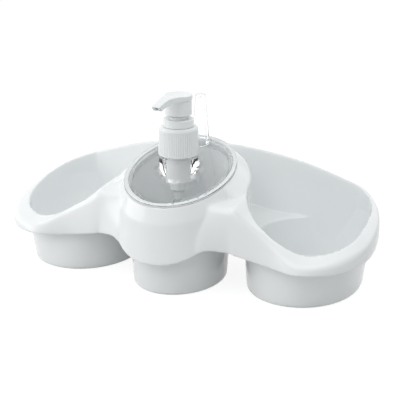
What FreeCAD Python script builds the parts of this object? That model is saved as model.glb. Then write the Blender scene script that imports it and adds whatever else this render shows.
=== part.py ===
"""Soap pump caddy: a moulded tray on three cups, a soap tub with a clear lid, and a lotion pump.

Lengths are millimetres. While it is being built, the model stands with the foot of its middle
cup at x = 0, y = 0, z = 0, the front towards -Y. Each solid is moved last, so that the origin
lies at the bottom centre of the whole object.
"""
import FreeCAD, Part
import math
import os

from FreeCAD import Vector

# ---- moulded tray: the body with its two bowls and the tower in the middle --------------------
WALL = 2.4                  # wall of the tray
BACK_Y = 82.5               # the flat back face
BOWL_X = 98.0               # centre of a side bowl
BOWL_Y = 27.0
BOWL_A = 45.5               # half width of a bowl's mouth
BOWL_B = 52.5               # depth of a bowl's mouth in front of its centre
BOWL_REAR = 57.0            # and behind it, as far as the back wall lets it
BOWL_POWER = 2.5            # fullness of the mouth's corners
CUP_X = 96.2                # centre of a side cup's foot
CUP_Y = 26.5
CUP_A = 44.2                # half width of a side cup's foot
CUP_B = 54.2                # half depth of a side cup's foot
CUP_POWER = 2.05
CUP_FLOOR = 2.2             # floor of a side cup
CUP_FOOT_ROUND = 3.0        # rounding at a cup's foot
WELL_TOP = 50.0             # where a bowl's wall turns upright
MOUTH_TOP = 112.0           # how far up the bowls' cutting shapes run
CHANNEL_FLOOR = 44.0        # floor of the trough between the tower and the back wall
CHANNEL_LOW = 35.8          # height to which it falls on its way into the bowls
CHANNEL_TURN = 62.0         # where it has come down to that height
CHANNEL_HALF = 98.0         # half length of the trough
CHANNEL_FRONT = 12.0        # where it opens out of the bowls
TROUGH_REACH = 80.0         # its floor runs out to here and forward to the next depth
TROUGH_FRONT = 26.0
TOWER_WALL_LOW = 35.0       # lower edge of the tower's rear wall
WALL_STEP = 0.15            # the bowls' walls are this much thicker above the skirt's edge
SKIRT_LOW = 33.0            # lower edge of the skirt along the wings
SKIRT_ARCH = 40.5           # its height where the wings meet the tower
SKIRT_NOSE = 29.0           # its height at the middle of the front
ARCH_HALF = 37.0            # half width of the front arch
ARCH_END = 95.0             # where the wings' edge is level again
ARCH_BACK = 6.0             # the arched edge runs back this far
WAIST_Y = -34.0             # front face of the wings between the cups
WAIST_CREST_Y = -32.0       # its top edge
LOBE_Y = -42.0              # front face of the wings before the side cups

# ---- tower round the soap tub -----------------------------------------------------------------
LID_A = 43.4                # half width of the lid
LID_B = 49.6                # half depth of the lid
LID_Y = 0.5                 # centre of the lid
LID_Z = 87.4                # height of the tray's land under the lid at y = 0
LID_SLOPE = 0.29            # rise of the lid towards the back
SHOULDER_DROP = 11.0        # height of the tower's shoulder
TOWER_A = 56.4              # the tower's rear outline
TOWER_REAR = 72.0
TOWER_Y = -10.0
NOSE_TOP_A = 47.6           # the tower's front outline below the shoulder
NOSE_TOP_B = 53.4
NOSE_LOW_A = 54.5           # and at the skirt's edge
NOSE_LOW_B = 57.5
NOSE_ROUND = 7.0            # rounding of the tower's front shoulder

# ---- soap tub and clear lid -------------------------------------------------------------------
TUB_A = 36.0                # half width of the tub's foot
TUB_B = 44.0                # half depth of the tub's foot
TUB_TOP_A = 41.7            # half width of the tub's rim
TUB_TOP_B = 48.0            # half depth of the tub's rim
TUB_WALL = 1.8
TUB_FLOOR = 2.4
TUB_CLEAR = 0.4             # gap between the tub and the tray
FOOT_ROUND = 3.0            # rounding under the tub's foot
LID_EDGE = 3.4              # height of the lid's edge
LID_ROUND = 2.2             # rounding of the lid's upper edge
TUB_RIM = 0.9               # thickness of the tub's rim on the tray's land
RIM_INSET = 0.3             # the tub's rim stays back this far under the lid's edge
PLUG_DEPTH = 5.0            # ring of the lid that fits inside the tub
PLUG_WALL = 1.5
PLUG_GAP = 0.9              # gap between that ring and the tub, filled by the seal
SEAL_HEIGHT = 2.0
SEAL_LOW = 3.6              # the seal's lower face under the tray's land
SEAL_GROOVE = 0.5           # depth of its groove in the lid's ring
SEAL_CLEAR = 0.1            # gap between the seal and the tub

# ---- pump -------------------------------------------------------------------------------------
PUMP_Y = -3.0               # the pump's axis
NECK_R = 12.7               # the lid's neck, outside
NECK_BORE = 10.6            # and inside
NECK_TOP = 119.2
FLARE_R = 22.0              # foot of the flared neck
FLARE_TOP_R = 15.2          # neck just under the closure
FLARE_TOP = 101.6
BEAD = 0.35                 # bead on the neck that the closure snaps over
BEAD_LOW = 108.0
CLOSURE_LOW = 103.0
CLOSURE_TOP = 125.4
CLOSURE_R = 15.9            # over the ribs at the bottom
CLOSURE_TOP_R = 15.1        # over the ribs at the top
CLOSURE_BORE = 13.2
CLOSURE_HOLE = 8.8
CLOSURE_WEB = 3.2           # top wall of the closure
CLOSURE_SHOULDER = 1.8      # rounding of its top edge
RIB_COUNT = 56
RIB_DEPTH = 0.45
GASKET = 1.0                # neck gasket
COLLAR_R = 12.1
COLLAR_TOP = 131.5
COLLAR_WEB = 2.2
BARREL_R = 6.6              # pump barrel, outside
BARREL_BORE = 5.6
BARREL_LOW = 74.0
BARREL_WIDE_R = 9.5         # its wider upper part
BARREL_WIDE_LOW = 82.0
BARREL_NECK_R = 8.4         # barrel where the collar snaps on
FLANGE_R = 12.3
TUBE_R = 3.4                # dip tube, outside
TUBE_BORE = 2.4
TUBE_LOW = 6.0
TAIL_R = 4.4                # the barrel's tail that holds the dip tube
TAIL_LOW = 66.0
BALL_R = 2.5
BALL_SEAT = 1.9             # bore under the ball
SEAT_Z = 72.0               # height of the ball's seat
CHAMBER_R = 3.0             # room round the ball
CAGE_Z = 77.0               # the washer over the ball
CAGE_HEIGHT = 1.2
STEM_R = 3.2
STEM_BORE = 1.6
PISTON_LOW = 92.0
PISTON_HEIGHT = 8.0
RUNNING = 0.08              # clearance of a sliding fit
SPRING_R = 4.2              # mean radius of the return spring
SPRING_WIRE = 0.8
SPRING_TURNS = 6
STROKE = 14.0               # rise of the head once it is unlocked

# ---- pump head --------------------------------------------------------------------------------
HEAD_R = 10.5               # skirt of the head
HEAD_LOW = 134.7
HEAD_WALL = 1.6
HEAD_HOLLOW_TOP = 144.5     # top of the ring-shaped room inside the skirt
BRIM_R = 11.0               # brim round the top
BRIM_LOW = 146.4
HEAD_TOP = 150.4
LOCK_BORE = 7.4             # the collar's hole, which the head's boss locks into
SOCKET_TOP = 146.0          # top of the stem inside the head
DISH_R = 9.7                # thumb dish on the head
DISH_DEPTH = 1.5
DISH_RINGS = 5              # rings that its hollow is made of
SPOUT_BORE = 1.3
SPOUT_BEND = 0.6            # a run of the bore goes on past its bend by this much

# ---- ring cone --------------------------------------------------------------------------------
CONE_Y = 39.0
CONE_R = 8.8
CONE_TOP_R = 4.1
CONE_HEIGHT = 40.4
CONE_WALL = 1.4
CONE_SOCKET = 2.0           # depth of the peg under the cone
CONE_PEG_R = 6.2
CONE_STEP = 1.0             # step above the cone's foot
CONE_TOP_DROP = 0.6

DEPTH_MIDDLE = (BACK_Y - NOSE_LOW_B) / 2.0
TINY = 0.05                 # shapes that are cut run past each other by this or more


def lid_plane(y):
    """Height of the tray's land under the lid at a depth y."""
    return LID_Z + LID_SLOPE * y


def round_outline(centre_x, centre_y, half_x, half_y, power, height, turns=24):
    """Closed smooth outline: an ellipse, or a fuller one for a power over 2."""
    points = []
    for step in range(turns):
        angle = 2.0 * math.pi * step / turns
        cosine = math.cos(angle)
        sine = math.sin(angle)
        x = centre_x + half_x * math.copysign(abs(cosine) ** (2.0 / power), cosine)
        y = centre_y + half_y * math.copysign(abs(sine) ** (2.0 / power), sine)
        points.append(Vector(x, y, height(y) if callable(height) else height))
    curve = Part.BSplineCurve()
    curve.interpolate(points, PeriodicFlag=True)
    return Part.Wire([curve.toShape()])


def bowl_outline(centre_x, centre_y, half_x, front, rear, power, height, turns=24):
    """Closed smooth outline of a bowl, with its own depths before and behind its centre."""
    points = []
    for step in range(turns):
        angle = 2.0 * math.pi * step / turns
        cosine = math.cos(angle)
        sine = math.sin(angle)
        half_y = rear if sine > 0 else front
        x = centre_x + half_x * math.copysign(abs(cosine) ** (2.0 / power), cosine)
        y = centre_y + half_y * math.copysign(abs(sine) ** (2.0 / power), sine)
        points.append(Vector(x, y, height))
    curve = Part.BSplineCurve()
    curve.interpolate(points, PeriodicFlag=True)
    return Part.Wire([curve.toShape()])


def ellipse(half_x, half_y, height, centre_y=0.0):
    """Closed elliptical outline, level or on a sloping plane."""
    return round_outline(0.0, centre_y, half_x, half_y, 2.0, height)


def ruled(*wires):
    """Solid with straight walls between closed outlines."""
    return Part.makeLoft(list(wires), True, True)


def above(plane_offset, reach=200.0):
    """Everything above the lid's plane, moved up by plane_offset."""
    low = LID_Z + plane_offset
    corners = [
        Vector(-reach, -reach, low - LID_SLOPE * reach),
        Vector(-reach, reach, low + LID_SLOPE * reach),
        Vector(-reach, reach, low + LID_SLOPE * reach + reach),
        Vector(-reach, -reach, low - LID_SLOPE * reach + reach),
    ]
    face = Part.Face(Part.makePolygon(corners + corners[:1]))
    return face.extrude(Vector(2.0 * reach, 0, 0))


def spun(points, y=PUMP_Y):
    """Solid of revolution about a vertical axis, from (radius, height) corners."""
    corners = [Vector(radius, y, height) for radius, height in points]
    face = Part.Face(Part.makePolygon(corners + corners[:1]))
    return face.revolve(Vector(0, y, 0), Vector(0, 0, 1), 360)


def rod(radius, low, high, y=PUMP_Y):
    """Upright round rod."""
    return Part.makeCylinder(radius, high - low, Vector(0, y, low))


def mirrored(shape):
    """The same shape on the other side of the middle plane."""
    return shape.mirror(Vector(0, 0, 0), Vector(1, 0, 0))


def blend(value, start, end):
    """Smooth step from 0 at start to 1 at end."""
    share = min(1.0, max(0.0, (value - start) / (end - start)))
    return share * share * (3.0 - 2.0 * share)


# ---- the rim of the tray ----------------------------------------------------------------------
# Heights of the bowl's lip, by the angle seen from the bowl's centre: the tower's side, the low
# front, the outer end, the rear corner and the middle of the back.
RIM_LINE = (
    (-150.0, 79.0),
    (-141.0, 74.8),
    (-108.0, 56.6),
    (-90.0, 47.6),
    (-72.0, 43.5),
    (-45.0, 46.4),
    (0.0, 56.0),
    (55.0, 65.5),
    (92.0, 76.8),
    (125.0, 85.5),
    (151.6, 91.6),
)

BACK_SPARE = 2.0            # the rim runs past the flat back face, which is cut later

# Round the outer end of a wing: angle, rim width, how far the skirt tucks in under its widest
# line, and the radius of the rim's outer edge.
END_STATIONS = (
    (-62.0, 15.6, 0.8, 5.0),
    (-46.0, 12.8, 2.6, 5.0),
    (-28.0, 11.0, 4.6, 4.6),
    (0.0, 9.6, 5.2, 4.2),
    (20.0, 7.6, 3.8, 3.0),
    (38.0, 5.0, 2.2, 1.8),
    (52.0, 3.6, 0.8, 1.1),
    (64.0, 3.4, 0.3, 0.9),
)

# Along the front of a wing, by the distance from the middle: where its face is plain.
FRONT_STATIONS = (30.0, 38.0, 46.0, 52.0, 59.0, 67.0, 77.0, 88.0, 100.0, 112.0)
HOLLOW_START = 46.0         # the hollow under a wing starts at this cut
# Along the straight back, by the distance from the middle.
BACK_STATIONS = (98.0, 72.0, 44.0, 15.0)


def rim_height(angle):
    """Height of the lip at an angle round the bowl."""
    line = RIM_LINE
    index = 0
    while index < len(line) - 2 and angle > line[index + 1][0]:
        index += 1
    before = line[max(index - 1, 0)]
    start = line[index]
    end = line[index + 1]
    after = line[min(index + 2, len(line) - 1)]
    share = (angle - start[0]) / (end[0] - start[0])
    span = end[0] - start[0]
    slope_in = (end[1] - before[1]) / (end[0] - before[0]) * span
    slope_out = (after[1] - start[1]) / (after[0] - start[0]) * span
    square = share * share
    cube = square * share
    return ((2 * cube - 3 * square + 1) * start[1] + (cube - 2 * square + share) * slope_in
            + (3 * square - 2 * cube) * end[1] + (cube - square) * slope_out)


def mouth_point(angle):
    """Point of the bowl's mouth seen from its centre at an angle in degrees."""
    cosine = math.cos(math.radians(angle))
    sine = math.sin(math.radians(angle))
    depth = BOWL_REAR if sine > 0 else BOWL_B
    size = abs(cosine / BOWL_A) ** BOWL_POWER + abs(sine / depth) ** BOWL_POWER
    radius = size ** (-1.0 / BOWL_POWER)
    return BOWL_X + radius * cosine, BOWL_Y + radius * sine


def mouth_normal(angle):
    """Outward direction of the bowl's mouth at an angle in degrees."""
    x, y = mouth_point(angle)
    across = (x - BOWL_X) / BOWL_A
    depth = BOWL_REAR if angle > 0 else BOWL_B
    along = (y - BOWL_Y) / depth
    normal_x = math.copysign(abs(across) ** (BOWL_POWER - 1.0), across) / BOWL_A
    normal_y = math.copysign(abs(along) ** (BOWL_POWER - 1.0), along) / depth
    size = math.hypot(normal_x, normal_y)
    return normal_x / size, normal_y / size


def front_lip(x):
    """Depth of the bowl's front lip at a distance x from the middle."""
    share = min(0.999, abs(x - BOWL_X) / BOWL_A)
    return BOWL_Y - BOWL_B * (1.0 - share ** BOWL_POWER) ** (1.0 / BOWL_POWER)


def skirt_low(x):
    """Height of the skirt's lower edge at a distance x from the middle."""
    distance = abs(x)
    if distance < ARCH_HALF:
        share = distance / ARCH_HALF
        return SKIRT_NOSE + (SKIRT_ARCH - SKIRT_NOSE) * share ** 2.4
    return SKIRT_ARCH + (SKIRT_LOW - SKIRT_ARCH) * blend(distance, ARCH_HALF, ARCH_END)


def station(place, outward, lip, width, drop, tuck, round_radius, foot):
    """One cut through the rim: the sizes that its outline needs."""
    return {"place": place, "outward": outward, "lip": lip, "width": width, "drop": drop,
            "tuck": tuck, "round": round_radius, "foot": foot}


def front_station(x):
    """Cut through the front of a wing."""
    lip_y = front_lip(x)
    lobe = blend(x, 80.0, 112.0)
    angle = math.degrees(math.atan2(lip_y - BOWL_Y, x - BOWL_X))
    if angle > 0:
        angle -= 360.0
    lip = rim_height(max(angle, RIM_LINE[0][0]))
    crest_y = WAIST_CREST_Y + (LOBE_Y + 1.6 - WAIST_CREST_Y) * lobe
    face_y = WAIST_Y + (LOBE_Y - WAIST_Y) * lobe
    flare = 9.0 * (1.0 - blend(x, 30.0, 56.0))
    crest = min(lip, 74.0) - 3.6 * lobe - 1.2 * (1.0 - blend(x, 59.0, 75.0))
    return station((x, lip_y), (0.0, -1.0), lip, lip_y - crest_y, lip - crest,
                   face_y - crest_y - flare, 5.0, SKIRT_LOW - 6.0)


def end_station(angle, width, tuck, round_radius):
    """Cut through the rounded outer end of a wing."""
    drop = 3.6 + 2.0 * blend(angle, -50.0, 0.0) - 5.3 * blend(angle, 10.0, 62.0)
    return station(mouth_point(angle), mouth_normal(angle), rim_height(angle), width, drop, tuck,
                   round_radius, SKIRT_LOW - 6.0)


def back_station(x):
    """Cut through the straight back wall."""
    angle = math.degrees(math.atan2(BACK_Y - WALL - BOWL_Y, x - BOWL_X))
    return station((x, BACK_Y - WALL), (0.0, 1.0), rim_height(angle), WALL + BACK_SPARE, 0.2, 0.0,
                   0.9, SKIRT_LOW - 6.0)


def corner_arc(start, corner, end, radius):
    """Tangent points and middle point of an arc that rounds a corner."""
    towards_start = (start - corner).normalize()
    towards_end = (end - corner).normalize()
    half = towards_start.getAngle(towards_end) / 2.0
    reach = radius / math.tan(half)
    middle_line = (towards_start + towards_end).normalize()
    middle = corner + middle_line * (radius / math.sin(half) - radius)
    return corner + towards_start * reach, middle, corner + towards_end * reach


def rim_cut(cut, inset):
    """Closed outline of one cut through the filled rim, drawn smaller by an inset."""
    base_x, base_y = cut["place"]
    out_x, out_y = cut["outward"]

    def at(distance, height):
        return Vector(base_x + out_x * distance, base_y + out_y * distance, height)

    slope = cut["drop"] / cut["width"]
    inner = at(-3.0 - inset, cut["lip"] + 3.0 * slope - inset)
    corner = at(cut["width"] - inset, cut["lip"] - cut["drop"] - inset)
    foot = at(cut["width"] - cut["tuck"] - inset, cut["foot"] - 4.0 * inset)
    inner_foot = at(-3.0 - inset, cut["foot"] - 4.0 * inset)
    radius = max(cut["round"] - inset, 0.5)
    arc_start, arc_middle, arc_end = corner_arc(inner, corner, foot, radius)
    bulge = (arc_end + foot) * 0.5 + Vector(out_x, out_y, 0) * (0.1 + 0.42 * abs(cut["tuck"]))
    edges = [
        Part.LineSegment(inner, arc_start).toShape(),
        Part.Arc(arc_start, arc_middle, arc_end).toShape(),
        Part.Arc(arc_end, bulge, foot).toShape(),
        Part.LineSegment(foot, inner_foot).toShape(),
        Part.LineSegment(inner_foot, inner).toShape(),
    ]
    return Part.Wire(edges)


def half_stations():
    """Cuts from the front beside the middle, round the outer end, to the back."""
    cuts = [front_station(x) for x in FRONT_STATIONS]
    cuts += [end_station(*row) for row in END_STATIONS]
    cuts += [back_station(x) for x in BACK_STATIONS]
    return cuts


def other_side(cut):
    """The same cut on the left."""
    twin = dict(cut)
    twin["place"] = (-cut["place"][0], cut["place"][1])
    twin["outward"] = (-cut["outward"][0], cut["outward"][1])
    return twin


def rim_band():
    """The filled band under the rim, all round the tray."""
    half = half_stations()
    cuts = half + [other_side(cut) for cut in reversed(half)]
    return Part.makeLoft([rim_cut(cut, 0.0) for cut in cuts], True, False)


def hollow_cut(cut):
    """Closed outline of one cut through the hollow under the rim."""
    base_x, base_y = cut["place"]
    out_x, out_y = cut["outward"]

    def at(distance, height):
        return Vector(base_x + out_x * distance, base_y + out_y * distance, height)

    slope = cut["drop"] / cut["width"]
    reach = cut["width"] - WALL
    under = cut["lip"] - WALL
    bevel = 0.45 * cut["round"]
    return Part.makePolygon([
        at(-4.0, under + 4.0 * slope),
        at(reach - bevel, under - slope * (reach - bevel)),
        at(reach, under - slope * reach - bevel),
        at(reach - cut["tuck"], cut["foot"] - 6.0),
        at(-4.0, cut["foot"] - 6.0),
        at(-4.0, under + 4.0 * slope),
    ])


def rim_hollow():
    """The hollow under the rim of one wing, where the rim is wide enough to have one."""
    half = [cut for cut in half_stations()
            if cut["width"] > 3.0 * WALL and cut["place"][0] >= HOLLOW_START]
    return ruled(*[hollow_cut(cut) for cut in half])


def nose(inset):
    """The rounded front of the tower, with its shoulder up to the lid."""
    body = ruled(
        ellipse(NOSE_LOW_A - inset, NOSE_LOW_B - inset, SKIRT_NOSE - 6.0 - 4.0 * inset),
        ellipse(NOSE_TOP_A - inset, NOSE_TOP_B - inset,
                lambda y: lid_plane(y) - SHOULDER_DROP - inset),
        ellipse(LID_A - inset, LID_B - inset, lambda y: lid_plane(y) - inset, LID_Y),
    )
    crest = [edge for edge in body.Edges
             if len(body.ancestorsOfType(edge, Part.Face)) == 2 and is_crest(edge)]
    return body.makeFillet(NOSE_ROUND, crest)


def is_crest(edge):
    """Whether an edge of the nose is the one between its wall and its shoulder."""
    middle = edge.BoundBox.Center
    return edge.Closed and edge.BoundBox.ZLength > 1.0 and middle.z < LID_Z - 0.5 * SHOULDER_DROP


def tower_outline(inset, height):
    """The tower's rear outline."""
    return ellipse(TOWER_A - inset, TOWER_REAR - inset, height, TOWER_Y)


def tower_rear(inset, spread):
    """The sides and back of the tower with the sloping shoulder up to the lid.

    The bowls are cut to the tower's outline later, so this shape runs past it by a spread.
    """
    reach = 1.0 + spread / (TOWER_A - LID_A)
    drop = SHOULDER_DROP * reach
    wide = tower_outline(inset - spread, lambda y: lid_plane(y) - drop - inset)
    shoulder = ruled(
        tower_outline(inset - spread, TOWER_WALL_LOW - 4.0 * inset),
        wide,
        ellipse(LID_A - inset, LID_B - inset, lambda y: lid_plane(y) - inset, LID_Y),
    )
    return shoulder.common(Part.makeBox(240, 160, 200, Vector(-120, TOWER_Y - 3.0 + inset, 0)))


def side_well(grow):
    """Shape of the right bowl, from its mouth down to its cup, drawn larger by a wall."""
    floor = CUP_FLOOR if grow == 0 else 0.0
    cup_a = CUP_A - WALL + grow
    cup_b = CUP_B - WALL + grow
    body = ruled(
        bowl_outline(CUP_X, CUP_Y, cup_a, cup_b, cup_b, CUP_POWER, floor),
        bowl_outline(BOWL_X, BOWL_Y, BOWL_A + grow, BOWL_B + grow, BOWL_REAR + grow, BOWL_POWER,
                     WELL_TOP),
        bowl_outline(BOWL_X, BOWL_Y, BOWL_A + grow, BOWL_B + grow, BOWL_REAR + grow, BOWL_POWER,
                     MOUTH_TOP),
    )
    foot = [edge for edge in body.Edges if edge.Closed and edge.BoundBox.ZMax < floor + 0.1]
    return body.makeFillet(CUP_FOOT_ROUND, foot)


def trough(grow, top):
    """The gap that joins the bowls behind the tower, with a floor that falls to either side."""
    floor = []
    for step in range(-8, 9):
        x = CHANNEL_TURN * step / 8.0
        fall = blend(abs(x), 0.0, CHANNEL_TURN)
        height = CHANNEL_FLOOR + (CHANNEL_LOW - CHANNEL_FLOOR) * fall - grow
        floor.append(Vector(x, CHANNEL_FRONT, height))
    curve = Part.BSplineCurve()
    curve.interpolate(floor)
    reach = CHANNEL_HALF + grow
    ends = [
        floor[-1],
        Vector(reach, CHANNEL_FRONT, CHANNEL_LOW - grow),
        Vector(reach, CHANNEL_FRONT, top),
        Vector(-reach, CHANNEL_FRONT, top),
        Vector(-reach, CHANNEL_FRONT, CHANNEL_LOW - grow),
        floor[0],
    ]
    edges = [curve.toShape()]
    edges += [Part.LineSegment(one, two).toShape() for one, two in zip(ends, ends[1:])]
    depth = BACK_Y + 10.0 - CHANNEL_FRONT
    return Part.Face(Part.Wire(edges)).extrude(Vector(0, depth, 0))


def channel(grow):
    """Cutting shape of the trough, with the tower left standing."""
    core = ruled(
        tower_outline(grow - 0.6, CHANNEL_LOW - 12.0),
        tower_outline(grow, MOUTH_TOP + 10.0),
    )
    return trough(grow, MOUTH_TOP).cut(core)


def cavity(grow):
    """The whole inside of the tray's two bowls, up to the back wall."""
    right = side_well(grow)
    whole = right.fuse([mirrored(right), channel(grow)])
    back = BACK_Y - WALL if grow == 0 else BACK_Y + 2.0
    return whole.common(Part.makeBox(400, 200 + back, 200, Vector(-200, -200, -20)))


def under_skirt():
    """Everything under the skirt's lower edge, which is arched in front and level behind."""
    reach = BOWL_X + BOWL_A + 40.0
    count = 24
    upper = []
    for step in range(-count, count + 1):
        x = reach * step / count
        upper.append(Vector(x, -120, skirt_low(x)))
    curve = Part.BSplineCurve()
    curve.interpolate(upper)
    corner_a = Vector(reach, -120, -40)
    corner_b = Vector(-reach, -120, -40)
    wire = Part.Wire([
        curve.toShape(),
        Part.LineSegment(upper[-1], corner_a).toShape(),
        Part.LineSegment(corner_a, corner_b).toShape(),
        Part.LineSegment(corner_b, upper[0]).toShape(),
    ])
    arch = Part.Face(wire).extrude(Vector(0, 120.0 + ARCH_BACK, 0))
    level = Part.makeBox(2.0 * reach, 200.0, SKIRT_LOW + 40.0, Vector(-reach, ARCH_BACK - 1.0, -40.0))
    return arch.fuse(level)


def tub_block(inset, low, high):
    """The tapered shape of the tub between two heights, drawn smaller by an inset."""
    return ruled(tub_outline_at(inset, low), tub_outline_at(inset, high))


def tub_outline_at(inset, height):
    """The tub's outline at a height."""
    share = height / LID_Z
    half_x = TUB_A + (TUB_TOP_A - TUB_A) * share - inset
    half_y = TUB_B + (TUB_TOP_B - TUB_B) * share - inset
    return ellipse(half_x, half_y, height, LID_Y * share)


def make_tray():
    """The tray: rim, skirt, tower, bowls and side cups in one moulding."""
    skin = rim_band().fuse([nose(0.0), tower_rear(0.0, 2.0)]).cut(under_skirt())
    cup_box = Part.makeBox(400, 260, SKIRT_LOW + 5.0, Vector(-200, -120, -5))
    right_cup = side_well(WALL).common(cup_box)
    trough_box = Part.makeBox(2.0 * TROUGH_REACH, BACK_Y - TROUGH_FRONT, 30.0,
                              Vector(-TROUGH_REACH, TROUGH_FRONT, SKIRT_LOW - 2.0))
    plate = trough(WALL, CHANNEL_FLOOR + 4.0).common(trough_box)
    solid = skin.fuse([right_cup, mirrored(right_cup), plate])
    right_hollow = rim_hollow()
    hollow = right_hollow.fuse([mirrored(right_hollow), nose(WALL), tower_rear(WALL, 1.2)])
    hollow = hollow.cut(cavity(WALL + WALL_STEP))
    opening = tub_block(-TUB_CLEAR, -2.0, 125.0)
    behind = Part.makeBox(400, 100, 200, Vector(-200, BACK_Y, -10))
    left = Part.makeBox(200, 400, 200, Vector(-200, -200, -10))
    right_half = solid.cut([hollow, cavity(0.0), opening, behind, left])
    return right_half.fuse(mirrored(right_half))


def between(shape, low, high):
    """The part of a shape between two planes that lie along the lid's plane."""
    return shape.cut(above(high)).common(above(low))


def bottom_round(shape, radius):
    """Round the lowest closed edge of a shape."""
    low = min(edge.BoundBox.Center.z for edge in shape.Edges if edge.Closed)
    foot = [edge for edge in shape.Edges if edge.Closed and edge.BoundBox.Center.z < low + 0.1]
    return shape.makeFillet(radius, foot)


def make_tub():
    """The soap tub: a tapered cup with a rim that rests on the tray."""
    outer = bottom_round(tub_block(0.0, 0.0, 125.0), FOOT_ROUND)
    inner = bottom_round(tub_block(TUB_WALL, TUB_FLOOR, 126.0), FOOT_ROUND - 1.0)
    wall = outer.cut(above(TUB_RIM))
    rim = ruled(
        ellipse(LID_A - RIM_INSET, LID_B - RIM_INSET, lid_plane, LID_Y),
        ellipse(LID_A - RIM_INSET, LID_B - RIM_INSET, lambda y: lid_plane(y) + TUB_RIM, LID_Y),
    )
    return wall.fuse(rim).cut(inner)


def seal_block(inset):
    """The room of the lid's seal, with its inner side at an inset from the tub's outside."""
    ring = tub_block(TUB_WALL + SEAL_CLEAR, 40.0, 120.0).cut(tub_block(inset, 39.0, 121.0))
    return between(ring, -SEAL_LOW, -SEAL_LOW + SEAL_HEIGHT)


def make_seal():
    """The elastic ring round the lid's plug."""
    return seal_block(TUB_WALL + PLUG_GAP + SEAL_GROOVE)


def flare():
    """The lid's flared neck, from a ring on the sloping plate up to the pump's closure."""
    wires = []
    for step in range(6):
        share = step / 5.0
        radius = FLARE_R - (FLARE_R - FLARE_TOP_R) * math.sin(share * math.pi / 2.0)
        rise = 1.0 - math.cos(share * math.pi / 2.0)

        def height(y, rise=rise):
            foot = lid_plane(y) + LID_EDGE - 0.4
            return foot + (FLARE_TOP - foot) * rise

        wires.append(round_outline(0.0, PUMP_Y, radius, radius, 2.0, height))
    return ruled(*wires)


def make_lid():
    """The clear lid: plate, plug, flared neck for the pump and socket for the cone."""
    outlines = [ellipse(LID_A, LID_B, lambda y: lid_plane(y) + TUB_RIM, LID_Y)]
    for step in range(5):
        angle = math.radians(22.5 * step)
        inset = LID_ROUND * (1.0 - math.cos(angle))
        drop = LID_ROUND * (1.0 - math.sin(angle))

        def height(y, drop=drop):
            return lid_plane(y) + LID_EDGE - drop

        outlines.append(ellipse(LID_A - inset, LID_B - inset, height, LID_Y))
    plate = ruled(*outlines)
    plug = tub_block(TUB_WALL + PLUG_GAP, 40.0, 120.0)
    plug = plug.cut(tub_block(TUB_WALL + PLUG_GAP + PLUG_WALL, 39.0, 121.0))
    plug = between(plug, -PLUG_DEPTH, TUB_RIM + 0.3).cut(make_seal())
    neck = rod(NECK_R, FLARE_TOP - 1.0, NECK_TOP)
    bead = spun([(NECK_R - 1.0, BEAD_LOW), (NECK_R + BEAD, BEAD_LOW + BEAD + 0.6),
                 (NECK_R + BEAD, BEAD_LOW + BEAD + 1.0), (NECK_R - 1.0, BEAD_LOW + 3.4)])
    body = plate.fuse([plug, flare(), neck, bead])
    socket = Part.makeCylinder(CONE_PEG_R, 30.0, Vector(0, CONE_Y, 90.0))
    socket = socket.common(above(LID_EDGE - CONE_SOCKET))
    return body.cut([rod(NECK_BORE, 70.0, NECK_TOP + 5.0), socket])


def make_cone():
    """The hollow ring cone with its stepped foot and the peg that sits in the lid."""
    foot_z = lid_plane(CONE_Y) + LID_EDGE
    top_z = foot_z + CONE_HEIGHT - CONE_TOP_DROP
    lean = (CONE_R - CONE_TOP_R) / CONE_HEIGHT
    step_r = CONE_R - CONE_STEP - 3.0 * lean
    dome = 0.35 * CONE_TOP_R
    outer = spun([
        (0.0, foot_z - 6.0), (CONE_R, foot_z - 6.0), (CONE_R, foot_z + 1.6),
        (CONE_R - 0.4, foot_z + 2.0), (step_r, foot_z + 2.0), (step_r - 4.0 * lean, foot_z + 4.6),
        (CONE_TOP_R, top_z - dome), (0.86 * CONE_TOP_R, top_z - 0.45 * dome),
        (0.5 * CONE_TOP_R, top_z - 0.1 * dome), (0.0, top_z),
    ], CONE_Y)
    bore = CONE_PEG_R - CONE_WALL
    inner = spun([
        (0.0, foot_z - 8.0), (bore, foot_z - 8.0), (bore, foot_z + 6.0),
        (CONE_TOP_R - CONE_WALL, top_z - dome - CONE_WALL), (0.0, top_z - CONE_WALL - 0.4),
    ], CONE_Y)
    peg = Part.makeCylinder(CONE_PEG_R, 12.0, Vector(0, CONE_Y, foot_z - 10.0))
    peg = peg.common(above(LID_EDGE - CONE_SOCKET))
    return outer.common(above(LID_EDGE)).fuse(peg).cut(inner)


def make_gasket():
    """The flat ring on the lid's neck."""
    ring = rod(NECK_R, NECK_TOP, NECK_TOP + GASKET)
    return ring.cut(rod(NECK_BORE, NECK_TOP - 1.0, NECK_TOP + GASKET + 1.0))


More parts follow.
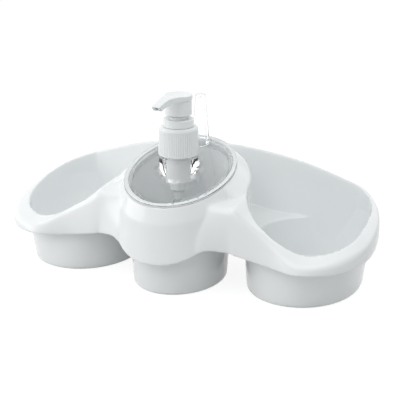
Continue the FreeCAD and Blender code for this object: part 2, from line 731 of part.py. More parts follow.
def make_closure():
    """The ribbed screw closure that holds the pump on the lid's neck."""
    lean = (CLOSURE_R - CLOSURE_TOP_R) / (CLOSURE_TOP - CLOSURE_LOW)
    edge_r = CLOSURE_TOP_R + lean * CLOSURE_SHOULDER
    body = spun([
        (CLOSURE_HOLE, CLOSURE_TOP), (CLOSURE_HOLE, CLOSURE_TOP - CLOSURE_WEB),
        (CLOSURE_BORE, CLOSURE_TOP - CLOSURE_WEB), (CLOSURE_BORE, CLOSURE_LOW),
        (CLOSURE_R - 0.5, CLOSURE_LOW), (CLOSURE_R, CLOSURE_LOW + 0.5),
        (edge_r, CLOSURE_TOP - CLOSURE_SHOULDER),
        (edge_r - 0.3 * CLOSURE_SHOULDER, CLOSURE_TOP - 0.35 * CLOSURE_SHOULDER),
        (edge_r - CLOSURE_SHOULDER, CLOSURE_TOP),
    ])
    grooves = []
    low = CLOSURE_LOW + 1.2
    high = CLOSURE_TOP - 1.6 * CLOSURE_SHOULDER
    for index in range(RIB_COUNT):
        half = 0.32 * 2.0 * math.pi * CLOSURE_R / RIB_COUNT
        low_r = CLOSURE_R - lean * (low - CLOSURE_LOW)
        high_r = CLOSURE_R - lean * (high - CLOSURE_LOW)
        wires = []
        for radius, height in ((low_r, low), (high_r, high)):
            wires.append(Part.makePolygon([
                Vector(radius - RIB_DEPTH, PUMP_Y, height),
                Vector(radius + 0.3, PUMP_Y - half, height),
                Vector(radius + 0.3, PUMP_Y + half, height),
                Vector(radius - RIB_DEPTH, PUMP_Y, height),
            ]))
        groove = ruled(*wires)
        groove.rotate(Vector(0, PUMP_Y, 0), Vector(0, 0, 1), 360.0 * index / RIB_COUNT)
        grooves.append(groove)
    return body.cut(grooves)


def make_barrel():
    """The pump barrel: flange, collar neck, cylinder, ball seat and tail."""
    flange_low = NECK_TOP + GASKET
    flange_top = CLOSURE_TOP - CLOSURE_WEB
    body = spun([
        (BARREL_BORE, COLLAR_TOP - COLLAR_WEB), (BARREL_NECK_R, COLLAR_TOP - COLLAR_WEB),
        (BARREL_NECK_R, flange_top), (FLANGE_R, flange_top), (FLANGE_R, flange_low),
        (BARREL_WIDE_R, flange_low), (BARREL_WIDE_R, BARREL_WIDE_LOW + 0.8),
        (BARREL_WIDE_R - 0.8, BARREL_WIDE_LOW), (BARREL_R, BARREL_WIDE_LOW),
        (BARREL_R, BARREL_LOW), (TAIL_R, BARREL_LOW - 2.0),
        (TAIL_R, TAIL_LOW), (TUBE_R, TAIL_LOW), (TUBE_R, SEAT_Z - 2.0), (BALL_SEAT, SEAT_Z - 2.0),
        (BALL_SEAT, SEAT_Z), (CHAMBER_R, SEAT_Z + 0.9), (CHAMBER_R, CAGE_Z), (BARREL_BORE, CAGE_Z),
    ])
    return body


def make_collar():
    """The collar on top of the barrel, with the hole that the head locks into."""
    inner = COLLAR_TOP - COLLAR_WEB
    return spun([
        (LOCK_BORE, COLLAR_TOP), (LOCK_BORE, inner), (BARREL_NECK_R, inner),
        (BARREL_NECK_R, CLOSURE_TOP + 0.2), (COLLAR_R - 0.3, CLOSURE_TOP + 0.2),
        (COLLAR_R, CLOSURE_TOP + 0.6), (COLLAR_R - 0.2, COLLAR_TOP - 0.7),
        (COLLAR_R - 0.9, COLLAR_TOP),
    ])


def make_dip_tube():
    """The dip tube, cut at a slant at its foot."""
    tube = rod(TUBE_R, TUBE_LOW, SEAT_Z - 2.0).cut(rod(TUBE_BORE, TUBE_LOW - 1.0, SEAT_Z))
    slant = Part.makeBox(30, 30, 10, Vector(-15, PUMP_Y - TUBE_R, TUBE_LOW - 10.0))
    slant.rotate(Vector(0, PUMP_Y - TUBE_R, TUBE_LOW), Vector(1, 0, 0), 30)
    return tube.cut(slant)


def make_ball():
    """The inlet valve's ball, resting on its seat."""
    rise = math.sqrt(BALL_R * BALL_R - BALL_SEAT * BALL_SEAT)
    return Part.makeSphere(BALL_R, Vector(0, PUMP_Y, SEAT_Z + rise))


def make_cage():
    """The washer that keeps the ball in its chamber and carries the spring."""
    disc = rod(BARREL_BORE, CAGE_Z, CAGE_Z + CAGE_HEIGHT)
    holes = [rod(BALL_SEAT - 0.3, CAGE_Z - 1.0, CAGE_Z + CAGE_HEIGHT + 1.0)]
    return disc.cut(holes)


def make_spring():
    """The return spring with ground ends, pressed together while the head is locked down."""
    low = CAGE_Z + CAGE_HEIGHT
    rise = PISTON_LOW - low
    start = low + 0.25 * SPRING_WIRE
    length = rise - 0.5 * SPRING_WIRE
    helix = Part.makeHelix(length / SPRING_TURNS, length, SPRING_R)
    section = Part.Wire([Part.makeCircle(SPRING_WIRE / 2.0, Vector(SPRING_R, 0, 0),
                                         Vector(0, 1, 0))])
    wire = Part.Wire(helix).makePipeShell([section], True, True)
    wire.translate(Vector(0, PUMP_Y, start))
    return wire.common(rod(SPRING_R + SPRING_WIRE, low, low + rise))


def make_piston():
    """The piston, with a sealing lip at either end."""
    top = PISTON_LOW + PISTON_HEIGHT
    lip = BARREL_BORE - RUNNING
    waist = BARREL_BORE - 1.0
    bore = STEM_R + RUNNING
    return spun([
        (bore, top), (bore, PISTON_LOW + 1.0), (STEM_BORE, PISTON_LOW + 1.0),
        (STEM_BORE, PISTON_LOW), (lip, PISTON_LOW), (lip, PISTON_LOW + 1.4),
        (waist, PISTON_LOW + 2.4), (waist, top - 2.4), (lip, top - 1.4), (lip, top),
    ])


def make_stem():
    """The hollow stem from the piston up into the head."""
    stem = rod(STEM_R, PISTON_LOW + 1.0, SOCKET_TOP)
    return stem.cut(rod(STEM_BORE, PISTON_LOW, SOCKET_TOP + 1.0))


# Side view of the spout: distance in front of the pump's axis and height of the top, then the
# same for the underside and for the middle of its bore.
SPOUT_TOP = ((0.0, 149.8), (5.0, 150.2), (10.0, 150.9), (15.0, 151.5), (20.0, 151.8),
             (24.0, 151.7), (27.0, 151.4), (30.0, 151.0), (33.0, 150.5), (36.0, 149.9),
             (39.9, 149.0))
SPOUT_UNDER = ((36.4, 145.3), (33.0, 145.8), (30.0, 146.2), (27.0, 146.6), (24.0, 146.9),
               (20.0, 147.0), (15.0, 146.9), (10.0, 146.6), (5.0, 146.5), (0.0, 146.9))
SPOUT_DUCT = ((42.0, 146.6), (24.0, 149.3), (12.0, 148.9), (0.0, 145.8))
# Plan view: distance in front of the pump's axis and half width.
SPOUT_PLAN = ((41.0, 3.4), (38.0, 3.5), (34.0, 3.5), (30.0, 3.6), (27.0, 3.9), (24.0, 4.3),
              (20.0, 5.0), (15.0, 6.0), (10.0, 7.3), (5.0, 9.0), (0.0, 9.8))


def smooth_line(points):
    """Smooth open curve through points."""
    curve = Part.BSplineCurve()
    curve.interpolate([Vector(*point) for point in points])
    return curve.toShape()


def spout():
    """The flat spout, from its side view and its plan view."""
    upper = [(0.0, PUMP_Y - reach, height) for reach, height in SPOUT_TOP]
    under = [(0.0, PUMP_Y - reach, height) for reach, height in SPOUT_UNDER]
    side = Part.Wire([
        smooth_line(upper),
        Part.LineSegment(Vector(*upper[-1]), Vector(*under[0])).toShape(),
        smooth_line(under),
        Part.LineSegment(Vector(*under[-1]), Vector(*upper[0])).toShape(),
    ])
    blade = Part.Face(side).extrude(Vector(40, 0, 0))
    blade.translate(Vector(-20, 0, 0))
    right = [(half, PUMP_Y - reach, 130.0) for reach, half in SPOUT_PLAN]
    left = [(-half, PUMP_Y - reach, 130.0) for reach, half in reversed(SPOUT_PLAN)]
    plan = Part.Wire([
        smooth_line(right),
        Part.LineSegment(Vector(*right[-1]), Vector(*left[0])).toShape(),
        smooth_line(left),
        Part.LineSegment(Vector(*left[-1]), Vector(*right[0])).toShape(),
    ])
    return blade.common(Part.Face(plan).extrude(Vector(0, 0, 40)))


def spout_duct():
    """The bore of the spout in straight runs, which end over the stem."""
    points = [Vector(0, PUMP_Y - reach, height) for reach, height in SPOUT_DUCT]
    runs = []
    for one, two in zip(points, points[1:]):
        length = (two - one).Length + SPOUT_BEND
        runs.append(Part.makeCylinder(SPOUT_BORE, length, one, two - one))
    return runs


def make_head():
    """The pump head: skirt, brim with a thumb dish, locking boss and spout."""
    button = spun([
        (0.0, HEAD_LOW), (HEAD_R, HEAD_LOW), (HEAD_R, BRIM_LOW), (BRIM_R, BRIM_LOW + 0.3),
        (BRIM_R, HEAD_TOP - 0.7), (BRIM_R - 0.2, HEAD_TOP - 0.2), (BRIM_R - 0.7, HEAD_TOP),
        (0.0, HEAD_TOP),
    ])
    room = rod(HEAD_R - HEAD_WALL, HEAD_LOW - 1.0, HEAD_HOLLOW_TOP)
    boss = rod(LOCK_BORE - RUNNING, COLLAR_TOP - COLLAR_WEB + 0.1, HEAD_HOLLOW_TOP + 1.0)
    dish = [(0.0, HEAD_TOP - DISH_DEPTH)]
    for ring in range(1, DISH_RINGS + 3):
        share = (ring - 0.5) / (DISH_RINGS - 0.5)
        dish.append((DISH_R * share, HEAD_TOP - DISH_DEPTH * (1.0 - share * share)))
    dish[1] = (dish[1][0], HEAD_TOP - DISH_DEPTH)
    dish.append((0.0, dish[-1][1]))
    socket = rod(STEM_R, HEAD_LOW - 20.0, SOCKET_TOP)
    body = button.cut(room).fuse([boss, spout()])
    return body.cut([spun(dish), socket] + spout_duct())


PARTS = {}


def build_all():
    """Make every solid, in the order in which the caddy goes together."""
    PARTS["caddy_tray"] = make_tray()
    PARTS["soap_tub"] = make_tub()
    PARTS["clear_lid"] = make_lid()
    PARTS["lid_seal"] = make_seal()
    PARTS["ring_cone"] = make_cone()
    PARTS["neck_gasket"] = make_gasket()
    PARTS["ribbed_closure"] = make_closure()
    PARTS["pump_barrel"] = make_barrel()
    PARTS["lock_collar"] = make_collar()
    PARTS["dip_tube"] = make_dip_tube()
    PARTS["ball_valve"] = make_ball()
    PARTS["ball_cage"] = make_cage()
    PARTS["return_spring"] = make_spring()
    PARTS["pump_piston"] = make_piston()
    PARTS["pump_stem"] = make_stem()
    PARTS["pump_head"] = make_head()


def export_all():
    """Move each solid to the object's origin and write it."""
    os.makedirs("parts", exist_ok=True)
    for name, shape in PARTS.items():
        placed = shape.copy()
        placed.translate(Vector(0, -DEPTH_MIDDLE, 0))
        placed.exportStep("parts/" + name + ".step")
        print(name, len(placed.Solids), round(placed.Volume), placed.isValid(), placed.BoundBox)


build_all()
export_all()
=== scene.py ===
"""Looks of the soap pump caddy: finishes, smoothed mouldings, floor, light and camera."""
import logging
import math
from dataclasses import dataclass, field
from enum import Enum

import bmesh
import bpy
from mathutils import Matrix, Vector
from mathutils.bvhtree import BVHTree


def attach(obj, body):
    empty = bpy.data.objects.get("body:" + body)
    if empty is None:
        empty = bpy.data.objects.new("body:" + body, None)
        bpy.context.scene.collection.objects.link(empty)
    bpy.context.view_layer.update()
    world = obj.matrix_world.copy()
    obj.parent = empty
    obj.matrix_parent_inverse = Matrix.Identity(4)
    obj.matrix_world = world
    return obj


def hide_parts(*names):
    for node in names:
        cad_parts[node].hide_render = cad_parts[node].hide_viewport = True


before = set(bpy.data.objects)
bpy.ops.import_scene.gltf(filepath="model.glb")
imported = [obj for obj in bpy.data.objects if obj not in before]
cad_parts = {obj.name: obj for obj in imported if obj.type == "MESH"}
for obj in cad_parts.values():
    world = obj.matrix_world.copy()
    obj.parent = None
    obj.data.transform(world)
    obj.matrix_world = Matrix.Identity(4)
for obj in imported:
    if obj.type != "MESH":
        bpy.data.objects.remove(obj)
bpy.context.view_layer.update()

log = logging.getLogger("caddy")

MM = 0.001
WHITE = (1.0, 1.0, 1.0, 1.0)


class Shade(Enum):
    """How a piece's faces are shaded."""

    SMOOTH = "smooth"
    BY_ANGLE = "by angle"


# ---- finishes ---------------------------------------------------------------------------------


@dataclass(frozen=True)
class MouldedPlastic:
    """Opaque moulded plastic with a gloss skin, faint unevenness and a soft tone drift."""

    name: str
    color: tuple[float, float, float]
    roughness: float = 0.14
    coat: float = 0.08
    coat_roughness: float = 0.04
    bend: float = 1.5
    gloss: float = 0.36
    drift: float = 0.012
    ripple: float = 0.004
    edge: float = 0.0
    glow_depth: float = 0.0
    cloud_scale: float = 16.0
    wave_scale: float = 900.0
    wave_height: float = 0.4 * MM
    glow_reach: float = 3.0 * MM

    def build(self) -> bpy.types.Material:
        """Make the material.

        Returns:
            The new material.
        """
        material = bpy.data.materials.new(self.name)
        material.use_nodes = True
        nodes = material.node_tree.nodes
        links = material.node_tree.links
        shader = nodes["Principled BSDF"]
        place = nodes.new("ShaderNodeTexCoord")
        cloud = nodes.new("ShaderNodeTexNoise")
        cloud.inputs["Scale"].default_value = self.cloud_scale
        cloud.inputs["Detail"].default_value = 2.0
        links.new(place.outputs["Object"], cloud.inputs["Vector"])
        tone = nodes.new("ShaderNodeValToRGB")
        low = tuple(channel - self.drift for channel in self.color)
        high = tuple(min(1.0, channel + self.drift) for channel in self.color)
        tone.color_ramp.elements[0].position = 0.3
        tone.color_ramp.elements[0].color = (*low, 1.0)
        tone.color_ramp.elements[1].position = 0.7
        tone.color_ramp.elements[1].color = (*high, 1.0)
        links.new(cloud.outputs["Fac"], tone.inputs["Fac"])
        links.new(tone.outputs["Color"], shader.inputs["Base Color"])
        wave = nodes.new("ShaderNodeTexNoise")
        wave.inputs["Scale"].default_value = self.wave_scale
        wave.inputs["Detail"].default_value = 1.0
        links.new(place.outputs["Object"], wave.inputs["Vector"])
        bump = nodes.new("ShaderNodeBump")
        bump.inputs["Strength"].default_value = self.ripple
        bump.inputs["Distance"].default_value = self.wave_height
        links.new(wave.outputs["Fac"], bump.inputs["Height"])
        if self.edge > 0.0:
            round_off = nodes.new("ShaderNodeBevel")
            round_off.samples = 6
            round_off.inputs["Radius"].default_value = self.edge
            links.new(round_off.outputs["Normal"], bump.inputs["Normal"])
        links.new(bump.outputs["Normal"], shader.inputs["Normal"])
        spread = nodes.new("ShaderNodeMapRange")
        spread.inputs["To Min"].default_value = self.roughness * 0.9
        spread.inputs["To Max"].default_value = self.roughness * 1.12
        links.new(cloud.outputs["Fac"], spread.inputs["Value"])
        links.new(spread.outputs["Result"], shader.inputs["Roughness"])
        shader.inputs["IOR"].default_value = self.bend
        shader.inputs["Specular IOR Level"].default_value = self.gloss
        shader.inputs["Coat Weight"].default_value = self.coat
        shader.inputs["Coat Roughness"].default_value = self.coat_roughness
        shader.inputs["Subsurface Weight"].default_value = self.glow_depth
        shader.inputs["Subsurface Radius"].default_value = (1.0, 1.0, 1.0)
        shader.inputs["Subsurface Scale"].default_value = self.glow_reach
        return material


@dataclass(frozen=True)
class ClearPlastic:
    """Water-clear moulded plastic with faint flow marks, and painted shade that darkens its colour
    towards grazing edges.
    """

    name: str
    color: tuple[float, float, float]
    roughness: float = 0.01
    ripple: float = 0.01
    passes: float = 0.99
    bend: float = 1.2
    # Where the painted edge shade starts, and how dark it gets at grazing edges.
    edge_start: float = 0.4
    painted_edge_shade_tone: float = 0.25
    coat: float = 0.35
    coat_roughness: float = 0.02
    flow_scale: float = 60.0
    flow_height: float = 0.5 * MM

    def build(self) -> bpy.types.Material:
        """Make the material.

        Returns:
            The new material.
        """
        material = bpy.data.materials.new(self.name)
        material.use_nodes = True
        nodes = material.node_tree.nodes
        links = material.node_tree.links
        shader = nodes["Principled BSDF"]
        place = nodes.new("ShaderNodeTexCoord")
        wave = nodes.new("ShaderNodeTexNoise")
        wave.inputs["Scale"].default_value = self.flow_scale
        wave.inputs["Detail"].default_value = 0.0
        links.new(place.outputs["Object"], wave.inputs["Vector"])
        bump = nodes.new("ShaderNodeBump")
        bump.inputs["Strength"].default_value = self.ripple
        bump.inputs["Distance"].default_value = self.flow_height
        links.new(wave.outputs["Fac"], bump.inputs["Height"])
        links.new(bump.outputs["Normal"], shader.inputs["Normal"])
        # Painted shade: the facing value darkens the base colour towards grazing edges, standing in for
        # the dark outlines that the surroundings give clear plastic through refraction; this ramp is not
        # material thickness.
        rim = nodes.new("ShaderNodeLayerWeight")
        rim.inputs["Blend"].default_value = 0.5
        depth = nodes.new("ShaderNodeValToRGB")
        depth.color_ramp.elements[0].position = self.edge_start
        depth.color_ramp.elements[0].color = (*self.color, 1.0)
        depth.color_ramp.elements[1].position = 1.0
        depth.color_ramp.elements[1].color = (*(channel * self.painted_edge_shade_tone for channel in self.color), 1.0)
        links.new(rim.outputs["Facing"], depth.inputs["Fac"])
        links.new(depth.outputs["Color"], shader.inputs["Base Color"])
        shader.inputs["Roughness"].default_value = self.roughness
        shader.inputs["IOR"].default_value = self.bend
        shader.inputs["Transmission Weight"].default_value = 1.0
        shader.inputs["Coat Weight"].default_value = self.coat
        shader.inputs["Coat Roughness"].default_value = self.coat_roughness
        self.let_light_through(material, shader)
        return material

    def let_light_through(self, material: bpy.types.Material, shader: bpy.types.Node) -> None:
        """Let lamp light and light off white pieces pass straight through.

        Args:
            material: The material.
            shader: Its clear shader.
        """
        nodes = material.node_tree.nodes
        links = material.node_tree.links
        path = nodes.new("ShaderNodeLightPath")
        either = nodes.new("ShaderNodeMath")
        either.operation = "MAXIMUM"
        links.new(path.outputs["Is Shadow Ray"], either.inputs[0])
        links.new(path.outputs["Is Diffuse Ray"], either.inputs[1])
        open_way = nodes.new("ShaderNodeBsdfTransparent")
        open_way.inputs["Color"].default_value = (self.passes, self.passes, self.passes, 1.0)
        mix = nodes.new("ShaderNodeMixShader")
        links.new(either.outputs["Value"], mix.inputs["Fac"])
        links.new(shader.outputs["BSDF"], mix.inputs[1])
        links.new(open_way.outputs["BSDF"], mix.inputs[2])
        links.new(mix.outputs["Shader"], nodes["Material Output"].inputs["Surface"])


@dataclass(frozen=True)
class MetalFinish:
    """Bright drawn or ground metal."""

    name: str
    color: tuple[float, float, float]
    roughness: float = 0.25
    grain_scale: float = 1200.0

    def build(self) -> bpy.types.Material:
        """Make the material.

        Returns:
            The new material.
        """
        material = bpy.data.materials.new(self.name)
        material.use_nodes = True
        nodes = material.node_tree.nodes
        links = material.node_tree.links
        shader = nodes["Principled BSDF"]
        place = nodes.new("ShaderNodeTexCoord")
        grain = nodes.new("ShaderNodeTexNoise")
        grain.inputs["Scale"].default_value = self.grain_scale
        links.new(place.outputs["Object"], grain.inputs["Vector"])
        spread = nodes.new("ShaderNodeMapRange")
        spread.inputs["To Min"].default_value = self.roughness * 0.7
        spread.inputs["To Max"].default_value = self.roughness * 1.3
        links.new(grain.outputs["Fac"], spread.inputs["Value"])
        links.new(spread.outputs["Result"], shader.inputs["Roughness"])
        shader.inputs["Base Color"].default_value = (*self.color, 1.0)
        shader.inputs["Metallic"].default_value = 1.0
        return material


@dataclass
class Finishes:
    """Every finish of the caddy, made once and shared by its pieces."""

    tray_white: bpy.types.Material = field(init=False)
    tub_white: bpy.types.Material = field(init=False)
    clear: bpy.types.Material = field(init=False)
    pump_white: bpy.types.Material = field(init=False)
    milky: bpy.types.Material = field(init=False)
    tube_clear: bpy.types.Material = field(init=False)
    rubber: bpy.types.Material = field(init=False)
    steel: bpy.types.Material = field(init=False)

    def __post_init__(self) -> None:
        """Make all the materials."""
        self.tray_white = MouldedPlastic("tray_white_gloss", (0.90, 0.92, 0.925), glow_depth=0.35).build()
        self.tub_white = MouldedPlastic(
            "tub_white_gloss", (0.90, 0.92, 0.925), edge=0.6 * MM, glow_depth=0.35).build()
        self.clear = ClearPlastic("clear_plastic", (0.972, 0.984, 0.987)).build()
        self.pump_white = MouldedPlastic(
            "pump_white", (0.90, 0.915, 0.92), roughness=0.25, coat=0.2, edge=0.2 * MM).build()
        self.milky = MouldedPlastic(
            "pump_milky", (0.86, 0.87, 0.87), roughness=0.4, coat=0.0).build()
        self.tube_clear = ClearPlastic(
            "dip_tube_clear", (0.92, 0.94, 0.94), roughness=0.2).build()
        self.rubber = MouldedPlastic(
            "seal_rubber", (0.68, 0.69, 0.70), roughness=0.6, coat=0.0, ripple=0.02).build()
        self.steel = MetalFinish("bright_steel", (0.72, 0.72, 0.73)).build()


# ---- helpers for meshes -----------------------------------------------------------------------


def add_object(name: str, mesh: bmesh.types.BMesh, material: bpy.types.Material) -> bpy.types.Object:
    """Turn a finished bmesh into an object in the scene.

    Args:
        name: Name of the piece.
        mesh: The bmesh, which is freed here.
        material: Finish of the piece.

    Returns:
        The new object, at the origin.
    """
    data = bpy.data.meshes.new(name)
    mesh.to_mesh(data)
    mesh.free()
    piece = bpy.data.objects.new(name, data)
    bpy.context.scene.collection.objects.link(piece)
    data.materials.append(material)
    return piece


def shade(piece: bpy.types.Object, how: Shade, degrees: float = 30.0) -> None:
    """Shade a piece smooth, all over or up to an angle.

    Args:
        piece: The piece.
        how: Smooth all over, or by angle.
        degrees: Edges sharper than this stay sharp.
    """
    data = piece.data
    data.polygons.foreach_set("use_smooth", [True] * len(data.polygons))
    if how is Shade.BY_ANGLE:
        data.set_sharp_from_angle(angle=math.radians(degrees))


def cad_copy(node: str) -> bmesh.types.BMesh:
    """A merged copy of a CAD node's mesh.

    Args:
        node: Name of the CAD node.

    Returns:
        The copy as a bmesh.
    """
    mesh = bmesh.new()
    mesh.from_mesh(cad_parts[node].data)
    bmesh.ops.remove_doubles(mesh, verts=mesh.verts, dist=0.002 * MM)
    return mesh


def apply_modifiers(piece: bpy.types.Object) -> None:
    """Replace a piece's mesh by the result of its modifiers.

    Args:
        piece: The piece whose modifiers are applied.
    """
    bpy.context.view_layer.update()
    graph = bpy.context.evaluated_depsgraph_get()
    finished = bpy.data.meshes.new_from_object(piece.evaluated_get(graph))
    old = piece.data
    piece.modifiers.clear()
    piece.data = finished
    bpy.data.meshes.remove(old)


def soften(piece: bpy.types.Object, voxel: float, rounds: int) -> None:
    """Even out a piece's mesh and round its edges.

    Args:
        piece: The piece.
        voxel: Size of the new mesh's cells, in metres.
        rounds: Rounds of smoothing.
    """
    remesh = piece.modifiers.new("even", "REMESH")
    remesh.mode = "VOXEL"
    remesh.voxel_size = voxel
    remesh.use_smooth_shade = True
    soft = piece.modifiers.new("soft", "SMOOTH")
    soft.factor = 0.5
    soft.iterations = rounds
    apply_modifiers(piece)


def thin_out(piece: bpy.types.Object, most: int) -> None:
    """Keep a piece under a number of triangles.

    Args:
        piece: The piece.
        most: The most triangles that it may have.
    """
    count = sum(len(face.vertices) - 2 for face in piece.data.polygons)
    if count > most:
        thin = piece.modifiers.new("thin", "DECIMATE")
        thin.ratio = most / count
        apply_modifiers(piece)


# ---- sub-assemblies ---------------------------------------------------------------------------


@dataclass
class CaddyTray:
    """The moulded tray, with softened edges all over and the solid's slots closed."""

    finishes: Finishes
    voxel: float = 0.95 * MM
    rounds: int = 6
    most_triangles: int = 190000
    waist_lines: tuple[tuple[Vector, Vector], ...] = (
        (Vector((0.045, -0.0445, 0.0728)), Vector((0.058, -0.0445, 0.0715))),
        (Vector((0.057, -0.0455, 0.0715)), Vector((0.057, -0.049, 0.054))),
    )
    waist_core: float = 5.0 * MM
    waist_fade: float = 7.0 * MM
    waist_rounds: int = 60
    bowl_x: float = 98.0 * MM
    bowl_y: float = 14.3 * MM
    slot_run: tuple[float, float] = (-38.5 * MM, -4.5 * MM)
    slot_heights: tuple[float, float] = (32.4 * MM, 42.0 * MM)
    wall: float = 2.2 * MM

    def build(self) -> list[bpy.types.Object]:
        """Make the smoothed tray.

        Returns:
            The pieces made.
        """
        mesh = cad_copy("caddy_tray")
        for side in (1.0, -1.0):
            self.close_wall(mesh, side)
        piece = add_object("tray_body", mesh, self.finishes.tray_white)
        soften(piece, self.voxel, self.rounds)
        self.blend_waists(piece)
        thin_out(piece, self.most_triangles)
        shade(piece, Shade.SMOOTH)
        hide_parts("caddy_tray")
        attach(piece, "tray")
        return [piece]

    def close_wall(self, mesh: bmesh.types.BMesh, side: float) -> None:
        """Close the slot that the solid wrongly leaves in a bowl's wall beside the tower.

        Args:
            mesh: The tray's mesh, which gets one more closed band of wall.
            side: 1 for the right bowl, -1 for the left one.
        """
        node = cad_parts["caddy_tray"]
        walls = BVHTree.FromPolygons([vertex.co for vertex in node.data.vertices],
                                     [face.vertices[:] for face in node.data.polygons])
        start, end = self.slot_run
        count = round((end - start) / MM)
        towards_tower = Vector((-side, 0.0, 0.0))
        rings = []
        for step in range(count + 1):
            depth = start + (end - start) * step / count
            below, above = (
                walls.ray_cast(Vector((side * self.bowl_x, depth, height)), towards_tower)[0]
                for height in self.slot_heights)
            outward = Vector((below.x - side * self.bowl_x, depth - self.bowl_y, 0.0))
            away = outward.normalized() * self.wall
            rings.append([mesh.verts.new(corner)
                          for corner in (below, above, above + away, below + away)])
        band = [mesh.faces.new(rings[0]), mesh.faces.new(rings[-1][::-1])]
        for near, far in zip(rings, rings[1:]):
            for index in range(4):
                after = (index + 1) % 4
                band.append(mesh.faces.new((near[index], far[index], far[after], near[after])))
        bmesh.ops.recalc_face_normals(mesh, faces=band)

    def blend_waists(self, piece: bpy.types.Object) -> None:
        """Ease the two waists beside the tower into the wings' fronts.

        Args:
            piece: The tray.
        """
        easing = piece.vertex_groups.new(name="waists")
        for vertex in piece.data.vertices:
            place = Vector((abs(vertex.co.x), vertex.co.y, vertex.co.z))
            gap = min(self.distance(place, *line) for line in self.waist_lines)
            share = 1.0 - (gap - self.waist_core) / self.waist_fade
            if share > 0.0:
                easing.add([vertex.index], min(1.0, share), "REPLACE")
        soft = piece.modifiers.new("waists", "SMOOTH")
        soft.factor = 0.5
        soft.iterations = self.waist_rounds
        soft.vertex_group = easing.name
        apply_modifiers(piece)

    @staticmethod
    def distance(place: Vector, start: Vector, end: Vector) -> float:
        """Distance of a point from a line between two points.

        Args:
            place: The point.
            start: One end of the line.
            end: The other end.

        Returns:
            The distance, in metres.
        """
        along = end - start
        share = max(0.0, min(1.0, (place - start).dot(along) / along.length_squared))
        return (place - start - along * share).length


@dataclass
class ClearLid:
    """The clear lid and its ring cone, with moulded soft edges."""

    finishes: Finishes
    voxel: float = 0.42 * MM
    rounds: int = 3
    most_triangles: int = 190000

    def build(self) -> list[bpy.types.Object]:
        """Make the smoothed clear pieces.

        Returns:
            The pieces made.
        """
        pieces = []
        for name, node in (("lid_shell", "clear_lid"), ("cone_shell", "ring_cone")):
            piece = add_object(name, cad_copy(node), self.finishes.clear)
            soften(piece, self.voxel, self.rounds)
            thin_out(piece, self.most_triangles)
            shade(piece, Shade.SMOOTH)
            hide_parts(node)
            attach(piece, "lid")
            pieces.append(piece)
        return pieces


@dataclass
class PumpHead:
    """The pump's head with moulded soft edges, and the lock thread on its boss."""

    finishes: Finishes
    voxel: float = 0.33 * MM
    rounds: int = 3
    most_triangles: int = 150000
    axis_y: float = -15.5 * MM
    thread_root: float = 7.32 * MM
    thread_tip: float = 8.2 * MM
    thread_low: float = 131.9 * MM
    thread_height: float = 1.0 * MM
    thread_flank: float = 0.35 * MM
    pitch: float = 1.6 * MM
    turns: float = 1.4
    steps_each_turn: int = 48

    def build(self) -> list[bpy.types.Object]:
        """Make the head's pieces.

        Returns:
            The pieces made.
        """
        return [self.cap(), self.thread()]

    def cap(self) -> bpy.types.Object:
        """The head's moulding with rounded edges.

        Returns:
            The piece.
        """
        piece = add_object("head_body", cad_copy("pump_head"), self.finishes.pump_white)
        soften(piece, self.voxel, self.rounds)
        thin_out(piece, self.most_triangles)
        shade(piece, Shade.SMOOTH)
        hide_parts("pump_head")
        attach(piece, "head")
        return piece

    def thread(self) -> bpy.types.Object:
        """The short thread that locks the head down on its collar.

        Returns:
            The piece.
        """
        mesh = bmesh.new()
        low = self.thread_low
        high = low + self.thread_height
        section = [(self.thread_root, low), (self.thread_tip, low + self.thread_flank),
                   (self.thread_tip, high - self.thread_flank), (self.thread_root, high)]
        corners = [mesh.verts.new((reach, self.axis_y, height)) for reach, height in section]
        face = mesh.faces.new(corners)
        steps = int(self.steps_each_turn * self.turns)
        bmesh.ops.spin(
            mesh, geom=[face, *face.edges, *face.verts], cent=(0.0, self.axis_y, 0.0),
            axis=(0.0, 0.0, 1.0), dvec=(0.0, 0.0, self.pitch * self.turns / steps),
            angle=2.0 * math.pi * self.turns, steps=steps, use_duplicate=False)
        bmesh.ops.recalc_face_normals(mesh, faces=mesh.faces)
        piece = add_object("lock_thread", mesh, self.finishes.pump_white)
        shade(piece, Shade.BY_ANGLE)
        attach(piece, "head")
        return piece


@dataclass
class CadDress:
    """CAD nodes whose shape is right: each gets its finish."""

    finishes: Finishes

    def build(self) -> list[bpy.types.Object]:
        """Dress the nodes.

        Returns:
            The nodes dressed.
        """
        finish = self.finishes
        choice = {
            "soap_tub": finish.tub_white,
            "lid_seal": finish.rubber,
            "neck_gasket": finish.rubber,
            "ribbed_closure": finish.pump_white,
            "pump_barrel": finish.milky,
            "lock_collar": finish.pump_white,
            "dip_tube": finish.tube_clear,
            "ball_valve": finish.steel,
            "ball_cage": finish.milky,
            "return_spring": finish.steel,
            "pump_piston": finish.milky,
            "pump_stem": finish.milky,
        }
        dressed = []
        for name, material in choice.items():
            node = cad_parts[name]
            node.data.materials.clear()
            node.data.materials.append(material)
            dressed.append(node)
        return dressed


# ---- stage ------------------------------------------------------------------------------------


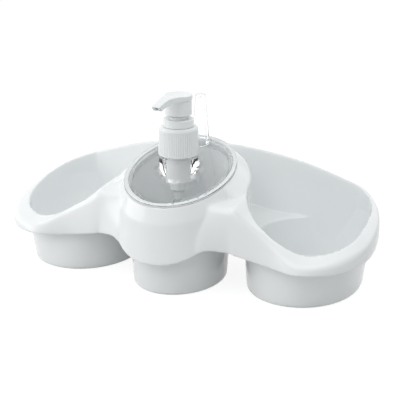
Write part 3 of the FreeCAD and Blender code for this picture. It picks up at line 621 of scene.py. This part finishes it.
@dataclass
class Studio:
    """Floor, soft light and camera."""

    camera_place: tuple[float, float, float] = (0.3641, -0.7902, 0.3521)
    azimuth: float = 24.06
    elevation: float = 18.55
    focal_share: float = 1144.8 / 400.0
    film_width: float = 36.0
    aim_height: float = 60.0 * MM
    clip_start: float = 10.0 * MM
    world_tint: tuple[float, float, float, float] = (0.97, 0.99, 1.0, 1.0)
    world_level: float = 0.59
    floor_reach: float = 4.0
    floor_tone: float = 0.6
    shadow_tone: float = 0.24
    glow: float = 0.88

    def build(self) -> None:
        """Make the stage."""
        self.view()
        self.world()
        self.floor()
        self.lamps()
        self.camera()

    def view(self) -> None:
        """Plain view settings."""
        bpy.context.scene.view_settings.view_transform = "Standard"

    def world(self) -> None:
        """A pale surrounding that the camera sees as white."""
        world = bpy.data.worlds.new("surround")
        bpy.context.scene.world = world
        world.use_nodes = True
        nodes = world.node_tree.nodes
        links = world.node_tree.links
        nodes.clear()
        out = nodes.new("ShaderNodeOutputWorld")
        mix = nodes.new("ShaderNodeMixShader")
        seen = nodes.new("ShaderNodeBackground")
        seen.inputs["Color"].default_value = WHITE
        seen.inputs["Strength"].default_value = 1.0
        light = nodes.new("ShaderNodeBackground")
        light.inputs["Color"].default_value = self.world_tint
        light.inputs["Strength"].default_value = self.world_level
        links.new(self.looked_at(world.node_tree), mix.inputs["Fac"])
        links.new(light.outputs["Background"], mix.inputs[1])
        links.new(seen.outputs["Background"], mix.inputs[2])
        links.new(mix.outputs["Shader"], out.inputs["Surface"])

    @staticmethod
    def looked_at(tree: bpy.types.NodeTree) -> bpy.types.NodeSocket:
        """Add nodes that tell whether the camera sees a place, itself or by gloss or clear plastic.

        Args:
            tree: The node tree that gets them.

        Returns:
            The socket that gives 1 there and 0 elsewhere.
        """
        path = tree.nodes.new("ShaderNodeLightPath")
        socket = path.outputs["Is Camera Ray"]
        for way in ("Is Glossy Ray", "Is Transmission Ray"):
            either = tree.nodes.new("ShaderNodeMath")
            either.operation = "MAXIMUM"
            tree.links.new(socket, either.inputs[0])
            tree.links.new(path.outputs[way], either.inputs[1])
            socket = either.outputs["Value"]
        return socket

    def floor(self) -> None:
        """A plain white floor that keeps a faint shadow."""
        mesh = bmesh.new()
        bmesh.ops.create_grid(mesh, x_segments=1, y_segments=1, size=self.floor_reach)
        material = bpy.data.materials.new("floor_white")
        material.use_nodes = True
        nodes = material.node_tree.nodes
        links = material.node_tree.links
        nodes.clear()
        out = nodes.new("ShaderNodeOutputMaterial")
        body = nodes.new("ShaderNodeBsdfDiffuse")
        body.inputs["Color"].default_value = (*(self.floor_tone,) * 3, 1.0)
        shadow = nodes.new("ShaderNodeBsdfDiffuse")
        shadow.inputs["Color"].default_value = (*(self.shadow_tone,) * 3, 1.0)
        glow = nodes.new("ShaderNodeEmission")
        glow.inputs["Color"].default_value = WHITE
        glow.inputs["Strength"].default_value = self.glow
        both = nodes.new("ShaderNodeAddShader")
        mix = nodes.new("ShaderNodeMixShader")
        links.new(shadow.outputs["BSDF"], both.inputs[0])
        links.new(glow.outputs["Emission"], both.inputs[1])
        links.new(self.looked_at(material.node_tree), mix.inputs["Fac"])
        links.new(body.outputs["BSDF"], mix.inputs[1])
        links.new(both.outputs["Shader"], mix.inputs[2])
        links.new(mix.outputs["Shader"], out.inputs["Surface"])
        floor = add_object("floor", mesh, material)

    def lamps(self) -> None:
        """Large soft boxes in front, low at the left, above and behind."""
        self.soft_box("box_front", (-0.15, -1.0, 1.05), (0.9, 0.7), 2.9)
        self.soft_box("box_left", (-0.95, -0.45, 0.28), (0.9, 0.5), 3.1)
        self.soft_box("box_top", (-0.1, -0.1, 1.3), (1.2, 1.0), 3.5)
        self.soft_box("box_back", (0.55, 0.9, 0.75), (1.0, 0.7), 1.6)

    def soft_box(self, name: str, place: tuple[float, float, float],
                 size: tuple[float, float], power: float) -> None:
        """One soft box that looks at the caddy.

        Args:
            name: Name of the lamp.
            place: Its centre, in metres.
            size: Its width and height, in metres.
            power: Its power, in watts.
        """
        lamp = bpy.data.lights.new(name, "AREA")
        lamp.shape = "RECTANGLE"
        lamp.size, lamp.size_y = size
        lamp.energy = power
        holder = bpy.data.objects.new(name, lamp)
        bpy.context.scene.collection.objects.link(holder)
        holder.location = place
        aim = Vector((0.0, 0.0, self.aim_height)) - Vector(place)
        holder.rotation_euler = aim.to_track_quat("-Z", "Y").to_euler()

    def camera(self) -> None:
        """The camera at the photograph's place."""
        data = bpy.data.cameras.new("camera")
        data.sensor_width = self.film_width
        data.sensor_fit = "HORIZONTAL"
        data.lens = self.film_width * self.focal_share
        data.clip_start = self.clip_start
        holder = bpy.data.objects.new("camera", data)
        bpy.context.scene.collection.objects.link(holder)
        holder.location = self.camera_place
        holder.rotation_euler = (
            math.radians(90.0 - self.elevation), 0.0, math.radians(self.azimuth))
        bpy.context.scene.camera = holder


def main() -> None:
    """Build the caddy's looks piece by piece, then the stage."""
    logging.basicConfig(level=logging.INFO, format="%(message)s")
    finishes = Finishes()
    for maker in (CaddyTray(finishes), ClearLid(finishes), PumpHead(finishes), CadDress(finishes)):
        for piece in maker.build():
            log.info("%s: %d faces", piece.name, len(piece.data.polygons))
    Studio().build()


if __name__ == "__main__":
    main()
